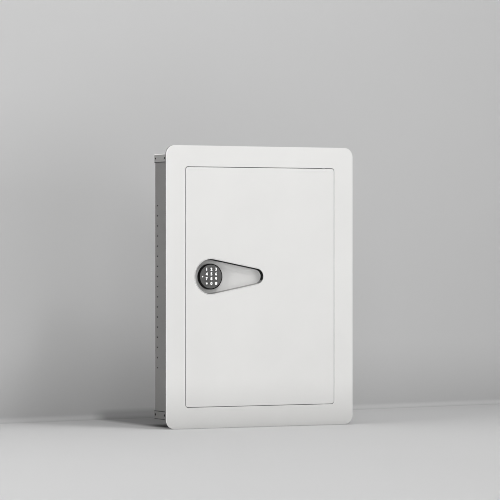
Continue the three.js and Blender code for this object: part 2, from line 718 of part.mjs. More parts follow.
const knob = new THREE.Group();
knob.position.set(KNOB_X, 0, KNOB_Z);
knob.add(
  mesh("knob_body", knobBody(), MATERIAL.darkPlastic),
  mesh("led_lens", rod("y", LED.radius, KNOB.front - 0.2, KNOB.front + 2, [LED.x, 0], 12), MATERIAL.lens),
  mesh("knob_spindle", spindle(), MATERIAL.brightSteel),
  mesh("cam_disc", camDisc(), MATERIAL.brightSteel),
  mesh("cam_clip", camClip(), MATERIAL.brightSteel),
  ...keyPlaces.map(({ label, x, z }) => mesh(`key_${label}`, keyCap(), MATERIAL.key, [x, 0, z])),
);

door.add(boltWork, knob);
const safe = new THREE.Group();
safe.name = "in_wall_safe";
safe.add(housing, door);

export default safe;
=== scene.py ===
"""An in-wall safe on a pale studio floor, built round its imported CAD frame.

Metres. +X is right and -Y is towards the room as one faces the door, +Z is up. The origin is the centre of
the wall opening, in the plane of the wall's surface, which is the rear of the trim frame's rim.
"""

import math

import bmesh
import bpy
from mathutils import Matrix, Vector


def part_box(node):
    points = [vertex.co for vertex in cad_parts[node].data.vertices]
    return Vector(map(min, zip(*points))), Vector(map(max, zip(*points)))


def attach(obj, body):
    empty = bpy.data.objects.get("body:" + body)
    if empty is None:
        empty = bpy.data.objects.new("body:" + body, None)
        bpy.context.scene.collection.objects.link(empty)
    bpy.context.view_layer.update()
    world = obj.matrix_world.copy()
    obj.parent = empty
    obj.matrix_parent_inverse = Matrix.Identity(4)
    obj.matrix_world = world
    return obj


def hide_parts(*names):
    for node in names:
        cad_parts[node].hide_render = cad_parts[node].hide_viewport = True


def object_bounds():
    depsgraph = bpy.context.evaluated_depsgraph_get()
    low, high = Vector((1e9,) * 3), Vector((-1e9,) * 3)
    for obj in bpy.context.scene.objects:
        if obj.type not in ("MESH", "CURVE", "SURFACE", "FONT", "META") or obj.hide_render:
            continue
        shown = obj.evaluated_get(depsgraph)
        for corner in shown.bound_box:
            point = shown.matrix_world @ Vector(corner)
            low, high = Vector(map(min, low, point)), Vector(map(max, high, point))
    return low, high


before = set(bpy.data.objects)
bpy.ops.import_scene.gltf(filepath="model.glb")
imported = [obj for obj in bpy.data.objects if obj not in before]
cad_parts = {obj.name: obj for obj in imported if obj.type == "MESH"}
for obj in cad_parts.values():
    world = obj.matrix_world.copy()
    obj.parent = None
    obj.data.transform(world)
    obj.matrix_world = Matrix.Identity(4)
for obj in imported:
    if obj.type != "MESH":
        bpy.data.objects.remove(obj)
cad_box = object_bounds()

MM = 0.001
SAME = 1e-6  # coordinates that are nearer than this to each other are taken as equal
CLEAR = 0.01  # how far a cutting tool runs past the piece that it cuts


# ---------------------------------------------------------------- camera
CAMERA_PLACE = (-2.556, -5.222, 0.0724)
CAMERA_TURN = math.radians(25.887)  # to the right of +Y
CAMERA_LENS = 211.9


def make_camera():
    data = bpy.data.cameras.new("camera")
    data.sensor_width = 36
    data.lens = CAMERA_LENS
    data.clip_end = 60
    camera = bpy.data.objects.new("camera", data)
    camera.location = CAMERA_PLACE
    camera.rotation_euler = (math.pi / 2, 0, -CAMERA_TURN)
    bpy.context.scene.collection.objects.link(camera)
    bpy.context.scene.camera = camera
    bpy.context.scene.cycles.filter_width = 1.0


# ---------------------------------------------------------------- materials
def new_material(name):
    """A material with its Principled shader and the object coordinates that its textures are laid in."""
    material = bpy.data.materials.new(name)
    material.use_nodes = True
    tree = material.node_tree
    shader = tree.nodes["Principled BSDF"]
    place = tree.nodes.new("ShaderNodeTexCoord").outputs["Object"]
    return material, tree, shader, place


def noise(tree, place, scale, detail=3.0, roughness=0.5, stretch=(1, 1, 1)):
    """A noise value from 0 to 1, of grain 1 / scale metres, drawn out along an axis by a small stretch."""
    mapping = tree.nodes.new("ShaderNodeMapping")
    mapping.inputs["Scale"].default_value = stretch
    tree.links.new(place, mapping.inputs["Vector"])
    texture = tree.nodes.new("ShaderNodeTexNoise")
    texture.inputs["Scale"].default_value = scale
    texture.inputs["Detail"].default_value = detail
    texture.inputs["Roughness"].default_value = roughness
    tree.links.new(mapping.outputs["Vector"], texture.inputs["Vector"])
    return texture.outputs["Fac"]


def spread(tree, value, low, high, start=0.3, end=0.7):
    """Carries a value between start and end over to the range low to high."""
    node = tree.nodes.new("ShaderNodeMapRange")
    node.inputs["From Min"].default_value = start
    node.inputs["From Max"].default_value = end
    node.inputs["To Min"].default_value = low
    node.inputs["To Max"].default_value = high
    tree.links.new(value, node.inputs["Value"])
    return node.outputs["Result"]


def blend_colours(tree, factor, first, second):
    node = tree.nodes.new("ShaderNodeMix")
    node.data_type = "RGBA"
    tree.links.new(factor, node.inputs["Factor"])
    for socket, colour in ((node.inputs["A"], first), (node.inputs["B"], second)):
        if isinstance(colour, bpy.types.NodeSocket):
            tree.links.new(colour, socket)
        else:
            socket.default_value = (*colour, 1)
    return node.outputs["Result"]


def bump(tree, shader, height, depth, strength=1.0):
    node = tree.nodes.new("ShaderNodeBump")
    node.inputs["Strength"].default_value = strength
    node.inputs["Distance"].default_value = depth
    tree.links.new(height, node.inputs["Height"])
    tree.links.new(node.outputs["Normal"], shader.inputs["Normal"])


def shade_crevices(tree, colour, reach, depth):
    """Painted shade where other surfaces are nearer than reach: depth 0 does nothing, 1 goes to black."""
    opening = tree.nodes.new("ShaderNodeAmbientOcclusion")
    opening.samples = 12
    opening.inputs["Distance"].default_value = reach
    shade = spread(tree, opening.outputs["AO"], 1 - depth, 1, 0, 1)
    mixed = tree.nodes.new("ShaderNodeMix")
    mixed.data_type = "RGBA"
    mixed.blend_type = "MULTIPLY"
    mixed.inputs["Factor"].default_value = 1
    tree.links.new(colour, mixed.inputs["A"])
    tree.links.new(shade, mixed.inputs["B"])
    return mixed.outputs["Result"]


def powder_coat(
    name, colour, roughness=0.5, grain=900, depth=0.00004, drift=0.03, crevice_shade=(0.1, 0.5), gloss=0.5
):
    """Baked powder paint: a faint orange peel, a colour that drifts a little, and painted shade in its
    crevices.

    The two numbers of the crevice shade are the painted shade's reach and depth.
    """
    material, tree, shader, place = new_material(name)
    darker = [c * (1 - drift) for c in colour]
    cloud = spread(tree, noise(tree, place, 9, 4), 0, 1)
    paint = blend_colours(tree, cloud, darker, colour)
    tree.links.new(shade_crevices(tree, paint, *crevice_shade), shader.inputs["Base Color"])
    peel = noise(tree, place, grain, 2)
    tree.links.new(spread(tree, peel, roughness - 0.04, roughness + 0.05), shader.inputs["Roughness"])
    shader.inputs["IOR"].default_value = 1.45
    shader.inputs["Specular IOR Level"].default_value = gloss
    bump(tree, shader, peel, depth)
    return material


def brushed_metal(name, colour, roughness=0.3, stretch=(1, 1, 12), streaks=420):
    """Plated or machined metal with a fine grain along one axis and a few dull patches."""
    material, tree, shader, place = new_material(name)
    shader.inputs["Metallic"].default_value = 1
    grain = noise(tree, place, streaks, 3, stretch=stretch)
    patches = noise(tree, place, 30, 3)
    darker = [c * 0.82 for c in colour]
    metal = blend_colours(tree, spread(tree, patches, 0, 1), darker, colour)
    tree.links.new(metal, shader.inputs["Base Color"])
    tree.links.new(spread(tree, grain, roughness - 0.07, roughness + 0.12), shader.inputs["Roughness"])
    bump(tree, shader, grain, 0.00002, 0.6)
    return material


def moulded_plastic(name, colour, roughness=0.5, grain=1400, depth=0.00003, gloss=0.5, glow=0.0):
    material, tree, shader, place = new_material(name)
    texture = noise(tree, place, grain, 2)
    lighter = [min(1, c * 1.12) for c in colour]
    plastic = blend_colours(tree, spread(tree, texture, 0, 1), colour, lighter)
    tree.links.new(plastic, shader.inputs["Base Color"])
    tree.links.new(spread(tree, texture, roughness - 0.05, roughness + 0.08), shader.inputs["Roughness"])
    shader.inputs["Specular IOR Level"].default_value = gloss
    shader.inputs["Emission Color"].default_value = (1, 1, 1, 1)
    shader.inputs["Emission Strength"].default_value = glow
    bump(tree, shader, texture, depth)
    return material


def felt(name, colour):
    material, tree, shader, place = new_material(name)
    fibres = noise(tree, place, 1300, 6, 0.7)
    lighter = [c * 1.9 for c in colour]
    cloth = blend_colours(tree, spread(tree, fibres, 0, 1), colour, lighter)
    tree.links.new(cloth, shader.inputs["Base Color"])
    shader.inputs["Roughness"].default_value = 0.95
    shader.inputs["Sheen Weight"].default_value = 0.4
    bump(tree, shader, fibres, 0.0004)
    return material


def cell_sleeve(name, colour, band, low, high):
    """A shrink sleeve on battery cells, with a band of another colour towards one end."""
    material, tree, shader, place = new_material(name)
    axes = tree.nodes.new("ShaderNodeSeparateXYZ")
    tree.links.new(place, axes.inputs["Vector"])
    edge = spread(tree, axes.outputs["Z"], 0, 1, low + (high - low) * 0.68, low + (high - low) * 0.69)
    scuff = noise(tree, place, 300, 4)
    mixed = blend_colours(tree, edge, colour, band)
    worn = blend_colours(tree, spread(tree, scuff, 0, 0.25, 0.45, 0.8), mixed, (0.5, 0.5, 0.5))
    tree.links.new(worn, shader.inputs["Base Color"])
    tree.links.new(spread(tree, scuff, 0.25, 0.4), shader.inputs["Roughness"])
    return material


PAINT = powder_coat("white powder coat", (0.853, 0.849, 0.835), roughness=0.42)
# Painted highlight: a brighter white on the rounded front edges, where they catch the light.
EDGE_HIGHLIGHT = powder_coat(
    "white powder coat, painted highlight on the edges", (0.95, 0.95, 0.945), roughness=0.32, drift=0.01, crevice_shade=(0.02, 0.2)
)
# Painted shade: a slightly darker white for the cup, for the shade inside the recess.
CUP_WHITE_SHADED = powder_coat(
    "white powder coat, painted shade in the recess", (0.81, 0.806, 0.794), roughness=0.45, crevice_shade=(0.1, 0.25)
)
# Painted shade: darker copies of the coat for the recess's walls, by how far each wall turns from the light.
RECESS_SHADE = powder_coat("shaded wall of the recess", (0.012, 0.012, 0.012), roughness=0.8, gloss=0.1)
RECESS_LIT = powder_coat("lit wall of the recess", (0.42, 0.42, 0.41), roughness=0.8, gloss=0.1)
RECESS_DIM = powder_coat("half shaded wall of the recess", (0.2, 0.2, 0.197), roughness=0.8, gloss=0.1)
# The case grey is as dark as the case's shaded side: partly its own grey paint, partly painted shade. It also
# paints shade on the frame's rim sides and on the bottom pan.
CASE_GREY_AND_SHADE = powder_coat(
    "grey case paint and painted shade", (0.160, 0.158, 0.154), roughness=0.5, grain=600, depth=0.00006, drift=0.08
)
PAN_PAINT = powder_coat(
    "grey pan paint", (0.247, 0.245, 0.240), roughness=0.5, grain=600, depth=0.00006, drift=0.08
)
# Painted highlight: near white on the top pan's folds, where they catch the light from above.
FOLD_HIGHLIGHT = powder_coat(
    "painted highlight on the grey folds", (0.95, 0.94, 0.93), roughness=0.4, grain=600, crevice_shade=(0.02, 0.2)
)
INNER_PAINT = powder_coat("grey inner paint", (0.30, 0.30, 0.295), roughness=0.55, grain=700, drift=0.05)
# Painted shade: near black for the hole linings, plug-weld dimples, the pans' edge bands, the bottom pan's
# folds and the clips' peg ends.
SHADE_BLACK = powder_coat("near black painted shade", (0.006, 0.006, 0.006), roughness=0.8, gloss=0.1)
ZINC = brushed_metal("zinc plate", (0.66, 0.67, 0.68), 0.32)
STEEL = brushed_metal("turned steel", (0.60, 0.60, 0.61), 0.24, stretch=(14, 1, 1))
BRASS = brushed_metal("turned brass", (0.72, 0.52, 0.24), 0.28)
KNOB_PLASTIC = moulded_plastic("knob plastic", (0.104, 0.103, 0.101), 0.42)
# The knob's side and the ring round its face: black plastic, darkened further as painted shade.
KNOB_BLACK_AND_SHADE = moulded_plastic("knob side, black and painted shade", (0.004, 0.004, 0.004), 0.6, gloss=0.1)
KEY_RUBBER = moulded_plastic("key rubber", (0.098, 0.097, 0.095), 0.55, grain=2000)
BLACK_PLASTIC = moulded_plastic("black plastic", (0.018, 0.018, 0.02), 0.5)
RED_PLASTIC = moulded_plastic("red plastic", (0.42, 0.03, 0.02), 0.35)
RUBBER = moulded_plastic("black rubber", (0.012, 0.012, 0.012), 0.8)
# The print glows a little, though it is no lamp: painted light.
PRINT = moulded_plastic("white print, painted glow", (0.92, 0.92, 0.92), 0.5, glow=0.5)
LENS = moulded_plastic("white lens", (0.95, 0.95, 0.95), 0.2, glow=0.9)
FELT = felt("grey felt", (0.05, 0.052, 0.056))


# ---------------------------------------------------------------- mesh helpers
def link(name, mesh):
    piece = bpy.data.objects.new(name, mesh)
    bpy.context.scene.collection.objects.link(piece)
    return piece


def apply_modifiers(piece):
    """Replaces the piece's mesh with what its modifiers make of it."""
    bpy.context.view_layer.update()
    seen = piece.evaluated_get(bpy.context.evaluated_depsgraph_get())
    made = bpy.data.meshes.new_from_object(seen)
    piece.modifiers.clear()
    piece.data = made
    return piece


def shade(piece, angle=32):
    """Smooth shading that stays flat on flat faces: sharp past the angle, with normals weighted by area."""
    piece.data.shade_smooth()
    piece.data.set_sharp_from_angle(angle=math.radians(angle))
    weighted = piece.modifiers.new("weighted", "WEIGHTED_NORMAL")
    weighted.keep_sharp = True
    return apply_modifiers(piece)


def settle(piece, body, material, nodes=(), angle=32):
    """Gives the piece its material and shading, and its place in the frame."""
    if not isinstance(material, (list, tuple)):
        material = [material]
    chosen = [polygon.material_index for polygon in piece.data.polygons]
    piece.data.materials.clear()
    for one in material:
        piece.data.materials.append(one)
    piece.data.polygons.foreach_set("material_index", chosen)
    shade(piece, angle)
    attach(piece, body)
    if nodes:
        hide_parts(*nodes)
    return piece


def paint_faces(piece, index, chosen):
    """Gives the material slot's index to every face for which chosen(centre, normal) is true."""
    for polygon in piece.data.polygons:
        if chosen(polygon.center, polygon.normal):
            polygon.material_index = index


def loft(name, loops, closed=True, capped=False):
    """Skins a row of loops that have the same number of points. Closed joins the last loop to the first."""
    shape = bmesh.new()
    rings = [[shape.verts.new(point) for point in loop] for loop in loops]
    pairs = list(zip(rings, rings[1:]))
    if closed:
        pairs.append((rings[-1], rings[0]))
    for a, b in pairs:
        for i in range(len(a)):
            j = (i + 1) % len(a)
            shape.faces.new((a[i], a[j], b[j], b[i]))
    if capped:
        shape.faces.new(list(reversed(rings[0])))
        shape.faces.new(rings[-1])
    bmesh.ops.recalc_face_normals(shape, faces=shape.faces)
    mesh = bpy.data.meshes.new(name)
    shape.to_mesh(mesh)
    shape.free()
    return link(name, mesh)


def circle(centre, radius, along, axis, segments):
    """Points round a circle that stands square to an axis, at a place along it."""
    points = []
    for i in range(segments):
        angle = 2 * math.pi * i / segments
        a, b = radius * math.cos(angle), radius * math.sin(angle)
        point = {"X": (along, a, b), "Y": (a, along, b), "Z": (a, b, along)}[axis]
        points.append(Vector(centre) + Vector(point))
    return points


def turned(name, profile, centre, axis="Y", segments=64):
    """A solid of revolution. The profile lists (radius, place along the axis) from one end to the other."""
    closed = profile[0][0] > 0
    loops = [circle(centre, radius, along, axis, segments) for radius, along in profile if radius != 0]
    return loft(name, loops, closed=closed, capped=not closed)


def arc(centre, radius, start, end, steps):
    """Points on a circle arc, in degrees."""
    made = []
    for i in range(steps + 1):
        angle = math.radians(start + (end - start) * i / steps)
        made.append((centre[0] + radius * math.cos(angle), centre[1] + radius * math.sin(angle)))
    return made


def rounded_rectangle(half_width, half_height, radius, steps=12):
    x, z = half_width - radius, half_height - radius
    return [
        point
        for i, (cx, cz) in enumerate(((x, z), (-x, z), (-x, -z), (x, -z)))
        for point in arc((cx, cz), radius, 90 * i, 90 * i + 90, steps)
    ]


def at_depth(outline, y):
    return [Vector((x, y, z)) for x, z in outline]


def plate(name, outlines, front, back, edge):
    """A flat plate between two Y values, with rounded edges. The first outline is its rim, the rest holes."""
    curve = bpy.data.curves.new(name, "CURVE")
    curve.dimensions = "2D"
    curve.fill_mode = "BOTH"
    curve.extrude = (back - front) / 2 - edge
    curve.bevel_depth = edge
    curve.bevel_resolution = 2
    curve.offset = -edge
    for outline in outlines:
        spline = curve.splines.new("POLY")
        spline.points.add(len(outline) - 1)
        spline.use_cyclic_u = True
        for point, (x, z) in zip(spline.points, outline):
            point.co = (x, z, 0, 1)
    maker = bpy.data.objects.new(name + "_curve", curve)
    bpy.context.scene.collection.objects.link(maker)
    bpy.context.view_layer.update()
    mesh = bpy.data.meshes.new_from_object(maker.evaluated_get(bpy.context.evaluated_depsgraph_get()))
    bpy.data.objects.remove(maker)
    mesh.transform(Matrix.Translation((0, (front + back) / 2, 0)) @ Matrix.Rotation(math.pi / 2, 4, "X"))
    piece = link(name, mesh)
    weld = piece.modifiers.new("weld", "WELD")
    weld.merge_threshold = 1e-6
    return apply_modifiers(piece)


def join(name, *pieces):
    """One object with all the pieces' meshes, each face keeping its piece's material index."""
    shape = bmesh.new()
    for piece in pieces:
        shape.from_mesh(piece.data)
    mesh = bpy.data.meshes.new(name)
    shape.to_mesh(mesh)
    shape.free()
    for piece in pieces:
        bpy.data.objects.remove(piece)
    return link(name, mesh)


def block(name, low, high):
    shape = bmesh.new()
    bmesh.ops.create_cube(shape, size=1)
    low, high = Vector(low), Vector(high)
    for vertex in shape.verts:
        vertex.co = [(a + b) / 2 + c * (b - a) for a, b, c in zip(low, high, vertex.co)]
    mesh = bpy.data.meshes.new(name)
    shape.to_mesh(mesh)
    shape.free()
    return link(name, mesh)


def round_edges(piece, radius, keep, segments=4):
    """Rounds the edges for which keep(first end, second end) is true."""
    shape = bmesh.new()
    shape.from_mesh(piece.data)
    bmesh.ops.dissolve_limit(shape, angle_limit=math.radians(1), verts=shape.verts, edges=shape.edges)
    chosen = [edge for edge in shape.edges if keep(edge.verts[0].co, edge.verts[1].co)]
    bmesh.ops.bevel(shape, geom=chosen, offset=radius, segments=segments, profile=0.5, affect="EDGES")
    shape.to_mesh(piece.data)
    shape.free()
    return piece


def score(piece, z):
    """Cuts the piece's faces along a level plane, so that they can be painted apart on either side of it."""
    shape = bmesh.new()
    shape.from_mesh(piece.data)
    everything = [*shape.verts, *shape.edges, *shape.faces]
    bmesh.ops.bisect_plane(shape, geom=everything, plane_co=(0, 0, z), plane_no=(0, 0, 1), dist=1e-7)
    shape.to_mesh(piece.data)
    shape.free()


def carve(piece, *tools):
    """Cuts the tools out of the piece, and removes them."""
    for tool in tools:
        cut = piece.modifiers.new("cut", "BOOLEAN")
        cut.operation = "DIFFERENCE"
        cut.solver = "EXACT"
        cut.object = tool
    apply_modifiers(piece)
    for tool in tools:
        bpy.data.objects.remove(tool)
    return piece


def drills(name, radius, places, axis, low, high, segments=24):
    """One object of equal round bars along an axis, from low to high, to be carved out of a sheet."""
    bars = []
    for place in places:
        ends = [circle(place, radius, along, axis, segments) for along in (low, high)]
        bars.append(loft(f"{name}_{len(bars)}", ends, closed=False, capped=True))
    return join(name, *bars)


def bevel_sharp(piece, width, segments=2, angle=40):
    """Rounds every edge that is sharper than the angle."""
    bevel = piece.modifiers.new("edges", "BEVEL")
    bevel.width = width
    bevel.segments = segments
    bevel.limit_method = "ANGLE"
    bevel.angle_limit = math.radians(angle)
    bevel.use_clamp_overlap = True
    return apply_modifiers(piece)


def fine_copy(node, body, material, edge=0.3 * MM, segments=2, angle=32):
    """The CAD node's own shape with its sharp edges rounded, in place of the node."""
    shape = bmesh.new()
    shape.from_mesh(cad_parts[node].data)
    bmesh.ops.remove_doubles(shape, verts=shape.verts, dist=1e-7)
    bmesh.ops.dissolve_limit(shape, angle_limit=math.radians(1), verts=shape.verts, edges=shape.edges)
    mesh = bpy.data.meshes.new(node + "_fine")
    shape.to_mesh(mesh)
    shape.free()
    piece = link(node + "_fine", mesh)
    bevel_sharp(piece, edge, segments)
    return settle(piece, body, material, [node], angle)


# ---------------------------------------------------------------- trim frame and door
def make_front_frame():
    low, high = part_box("front_frame")
    door_low, door_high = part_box("door_panel")
    half_w, half_h = high.x, high.z
    gap = 1.2 * MM
    open_w, open_h = door_high.x + gap, door_high.z + gap
    corner, door_corner = 18.5 * MM, 6 * MM
    sheet, rim = 2 * MM, 2 * MM
    front, back = low.y, high.y
    soft, small = 0.6 * MM, 0.5 * MM
    loops = [at_depth(rounded_rectangle(half_w, half_h, corner), back)]
    for inset, rise in arc((soft, soft), soft, 180, 270, 5):
        outline = rounded_rectangle(half_w - inset, half_h - inset, corner - inset)
        loops.append(at_depth(outline, front + rise))
    for inset, rise in arc((-small, small), small, 270, 360, 3):
        outline = rounded_rectangle(open_w - inset, open_h - inset, door_corner - inset)
        loops.append(at_depth(outline, front + rise))
    loops.append(at_depth(rounded_rectangle(open_w, open_h, door_corner), front + sheet))
    loops.append(at_depth(rounded_rectangle(half_w - rim, half_h - rim, corner - rim), front + sheet))
    loops.append(at_depth(rounded_rectangle(half_w - rim, half_h - rim, corner - rim), back))
    piece = loft("front_frame_fine", loops)
    rim_x, rim_z = half_w - rim / 2, half_h - rim / 2
    corner_distance = 0.3  # the round corners lie farther than this from the middle

    def is_rim(centre, normal):
        straight = abs(centre.x) > rim_x or abs(centre.z) > rim_z
        at_corner = abs(normal.y) < 0.5 and math.hypot(centre.x, centre.z) > corner_distance
        return centre.y > front + soft and (straight or at_corner)

    # The front's rounded edges take the painted highlight.
    paint_faces(piece, 1, lambda centre, normal: centre.y < front + soft and -0.985 < normal.y < 0.5)
    # The rim's sides, behind the front's rounding, take the case grey: painted shade on the white frame.
    paint_faces(piece, 2, is_rim)
    return settle(piece, "housing", [PAINT, EDGE_HIGHLIGHT, CASE_GREY_AND_SHADE], ["front_frame"])


KNOB = (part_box("knob_spindle")[0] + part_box("knob_spindle")[1]) / 2
RECESS_BIG = 34.3 * MM
RECESS_SMALL = 15.4 * MM
RECESS_LENGTH = 98.4 * MM


def teardrop(offset, steps=40):
    """The recess's outline: two circles joined by their tangents, grown outwards by an offset."""
    big, small = RECESS_BIG + offset, RECESS_SMALL + offset
    touch = math.degrees(math.acos((RECESS_BIG - RECESS_SMALL) / RECESS_LENGTH))
    near = arc((KNOB.x, KNOB.z), big, touch, 360 - touch, 2 * steps)
    far = arc((KNOB.x + RECESS_LENGTH, KNOB.z), small, -touch, touch, steps)
    return near + far


def make_door_panel():
    low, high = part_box("door_panel")
    corner, round_cup, edge = 5 * MM, 1.65 * MM, 0.45 * MM
    rim = rounded_rectangle(high.x, high.z, corner)
    hole = teardrop(round_cup)
    piece = plate("door_panel_fine", [rim, hole], low.y, high.y, edge)
    # The door's rounded front edges take the painted highlight.
    paint_faces(piece, 1, lambda centre, normal: centre.y < low.y + edge and -0.985 < normal.y < -0.1)
    return settle(piece, "door", [PAINT, EDGE_HIGHLIGHT], ["door_panel"])


def make_handle_cup():
    low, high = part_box("handle_cup")
    wall, flange, sheet = 1.5 * MM, 8 * MM, 1.5 * MM
    floor = high.y - wall
    lip, cove, draft = 0.35 * MM, 0.8 * MM, 1.6 * MM
    bush_hole = 9.05 * MM
    hole = []
    for x, z in teardrop(0):
        away = Vector((x - KNOB.x, z - KNOB.z)).normalized() * bush_hole
        hole.append((KNOB.x + away.x, KNOB.z + away.y))
    loops = [at_depth(hole, floor)]
    for inset, rise in reversed(arc((-cove, -cove), cove, 0, 90, 5)):
        loops.append(at_depth(teardrop(inset - draft), floor + rise))
    for grow, rise in arc((lip, lip), lip, 180, 270, 4):
        loops.append(at_depth(teardrop(grow), low.y + rise))
    for inset, rise in arc((-lip / 2, lip / 2), lip / 2, 270, 360, 3):
        loops.append(at_depth(teardrop(wall + inset), low.y + rise))
    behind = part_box("door_panel")[1].y + 0.15 * MM
    loops.append(at_depth(teardrop(wall), behind))
    loops.append(at_depth(teardrop(flange), behind))
    loops.append(at_depth(teardrop(flange), behind + sheet))
    loops.append(at_depth(teardrop(wall), behind + sheet))
    loops.append(at_depth(teardrop(wall), high.y - wall))
    loops.append(at_depth(teardrop(0), high.y))
    loops.append(at_depth(hole, high.y))
    piece = loft("handle_cup_fine", loops)
    mouth = low.y + lip
    light_x, light_z = 0.75, 0.66
    dim_from, shade_from = -0.25, 0.3

    def shade_of(normal):
        """How far a wall turns down and left, away from the light: 1 is fully."""
        return -(light_x * normal.x + light_z * normal.z)

    def is_wall(centre, normal):
        return mouth < centre.y < floor and abs(normal.y) < 0.6

    # Painted shade on the recess's walls: near black where they turn most from the light, dim grey half way,
    # mid grey where they face up.
    paint_faces(piece, 3, is_wall)
    paint_faces(piece, 1, lambda centre, normal: is_wall(centre, normal) and shade_of(normal) > dim_from)
    paint_faces(piece, 2, lambda centre, normal: is_wall(centre, normal) and shade_of(normal) > shade_from)
    paints = [CUP_WHITE_SHADED, RECESS_DIM, RECESS_SHADE, RECESS_LIT]
    return settle(piece, "door", paints, ["handle_cup"])


# ---------------------------------------------------------------- knob and keys
KEYS = {digit: digit for digit in "123456789"}
KEYS.update({"star": "*", "0": "0", "hash": "#"})
KEY_RADIUS = 3.9 * MM
WELL_RADIUS = 4.2 * MM
CHARACTER_HEIGHT = 6.0 * MM
PRINT_THICKNESS = 0.03 * MM


def middle(node):
    low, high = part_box(node)
    return (low + high) / 2


def make_knob():
    """The turned knob, with a well for each key and for the lens."""
    low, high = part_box("knob_body")
    radius = (high.x - low.x) / 2
    face, back = low.y, high.y
    shoulder, heel = 1.2 * MM, 0.4 * MM
    dark_rim = radius - 2.2 * MM
    profile = [(0, back), (radius - heel, back), (radius, back - heel), (radius, face + shoulder)]
    rounding = arc((0, 0), shoulder, 0, 90, 6)[1:]
    profile += [(radius - shoulder + dx, face + shoulder - dy) for dx, dy in rounding]
    profile += [(dark_rim, face), (0, face)]
    knob = turned("knob_body_fine", profile, (KNOB.x, 0, KNOB.z), segments=128)
    wells = [middle("key_" + key) for key in KEYS]
    lens = middle("led_lens")
    key_floor, lens_floor = 0.3 * MM, face + 2.2 * MM
    lens_radius = 1.25 * MM
    start = face - MM
    key_wells = drills("key_wells", WELL_RADIUS, [(x, 0, z) for x, _, z in wells], "Y", start, key_floor, 40)
    lens_well = drills("lens_well", lens_radius, [(lens.x, 0, lens.z)], "Y", start, lens_floor, 24)
    carve(knob, key_wells, lens_well)
    bevel_sharp(knob, 0.15 * MM)

    def on_side(centre, normal):
        return math.hypot(centre.x - KNOB.x, centre.z - KNOB.z) > dark_rim

    # Past the dark rim the knob is near black: partly its plastic, partly painted shade.
    paint_faces(knob, 1, on_side)
    return settle(knob, "knob", [KNOB_PLASTIC, KNOB_BLACK_AND_SHADE], ["knob_body"])


def make_star(name, place):
    """A printed six-pointed star, as thick as the printed characters."""
    tip, notch, thick = 2.7 * MM, 1.25 * MM, PRINT_THICKNESS
    outline = []
    for i in range(12):
        angle, radius = math.radians(30 * i), notch if i % 2 else tip
        outline.append((place[0] + radius * math.sin(angle), place[2] + radius * math.cos(angle)))
    loops = [at_depth(outline, place[1] - thick), at_depth(outline, place[1] + thick)]
    return loft(name, loops, closed=False, capped=True)


def make_character(name, text, place):
    """A printed character, a hair proud of the key, centred on it and facing the room."""
    data = bpy.data.curves.new(name, "FONT")
    data.body = text
    data.size = 0.01
    data.offset = 0.0004
    data.extrude = PRINT_THICKNESS
    data.resolution_u = 6
    maker = bpy.data.objects.new(name, data)
    bpy.context.scene.collection.objects.link(maker)
    bpy.context.view_layer.update()
    mesh = bpy.data.meshes.new_from_object(maker.evaluated_get(bpy.context.evaluated_depsgraph_get()))
    bpy.data.objects.remove(maker)
    xs = [v.co.x for v in mesh.vertices]
    ys = [v.co.y for v in mesh.vertices]
    size = CHARACTER_HEIGHT / (max(ys) - min(ys))
    mesh.transform(Matrix.Translation((-(max(xs) + min(xs)) / 2, -(max(ys) + min(ys)) / 2, 0)))
    mesh.transform(Matrix.Diagonal((size, size, 1, 1)))
    mesh.transform(Matrix.Translation(place) @ Matrix.Rotation(math.pi / 2, 4, "X"))
    return link(name, mesh)


def make_keys():
    for key, text in KEYS.items():
        node = "key_" + key
        low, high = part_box(node)
        centre = middle(node)
        dome, shoulder = 0.15 * MM, 0.6 * MM
        crown = KEY_RADIUS - shoulder
        rounding = reversed(arc((0, 0), shoulder, 0, 80, 4))
        profile = [(0, low.y), (KEY_RADIUS * 0.5, low.y + dome * 0.25), (crown, low.y + dome)]
        profile += [(crown + dx, low.y + dome + shoulder - dy) for dx, dy in rounding]
        profile += [(KEY_RADIUS, high.y), (0, high.y)]
        piece = turned(node + "_fine", profile, (centre.x, 0, centre.z), segments=40)
        settle(piece, node, KEY_RUBBER, [node])
        place = (centre.x, low.y + 0.02 * MM, centre.z)
        if text == "*":
            character = make_star("character_" + key, place)
        else:
            character = make_character("character_" + key, text, place)
        settle(character, node, PRINT)


def make_lens():
    low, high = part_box("led_lens")
    radius = (high.x - low.x) / 2
    centre = middle("led_lens")
    profile = [(0, low.y), (radius * 0.6, low.y + 0.08 * MM), (radius, low.y + 0.35 * MM)]
    profile += [(radius, high.y), (0, high.y)]
    piece = turned("led_lens_fine", profile, (centre.x, 0, centre.z), segments=32)
    return settle(piece, "knob", LENS, ["led_lens"])


# ---------------------------------------------------------------- case
# Radii of the holes in the case's sides, and how far out the clips' pegs stay bright: past it their ends get
# near-black painted shade.
SHELF_HOLE = 1.7 * MM
STUD_HOLE = 4.6 * MM
WELD_HOLE = 2.5 * MM
PEG_END = 181.6 * MM


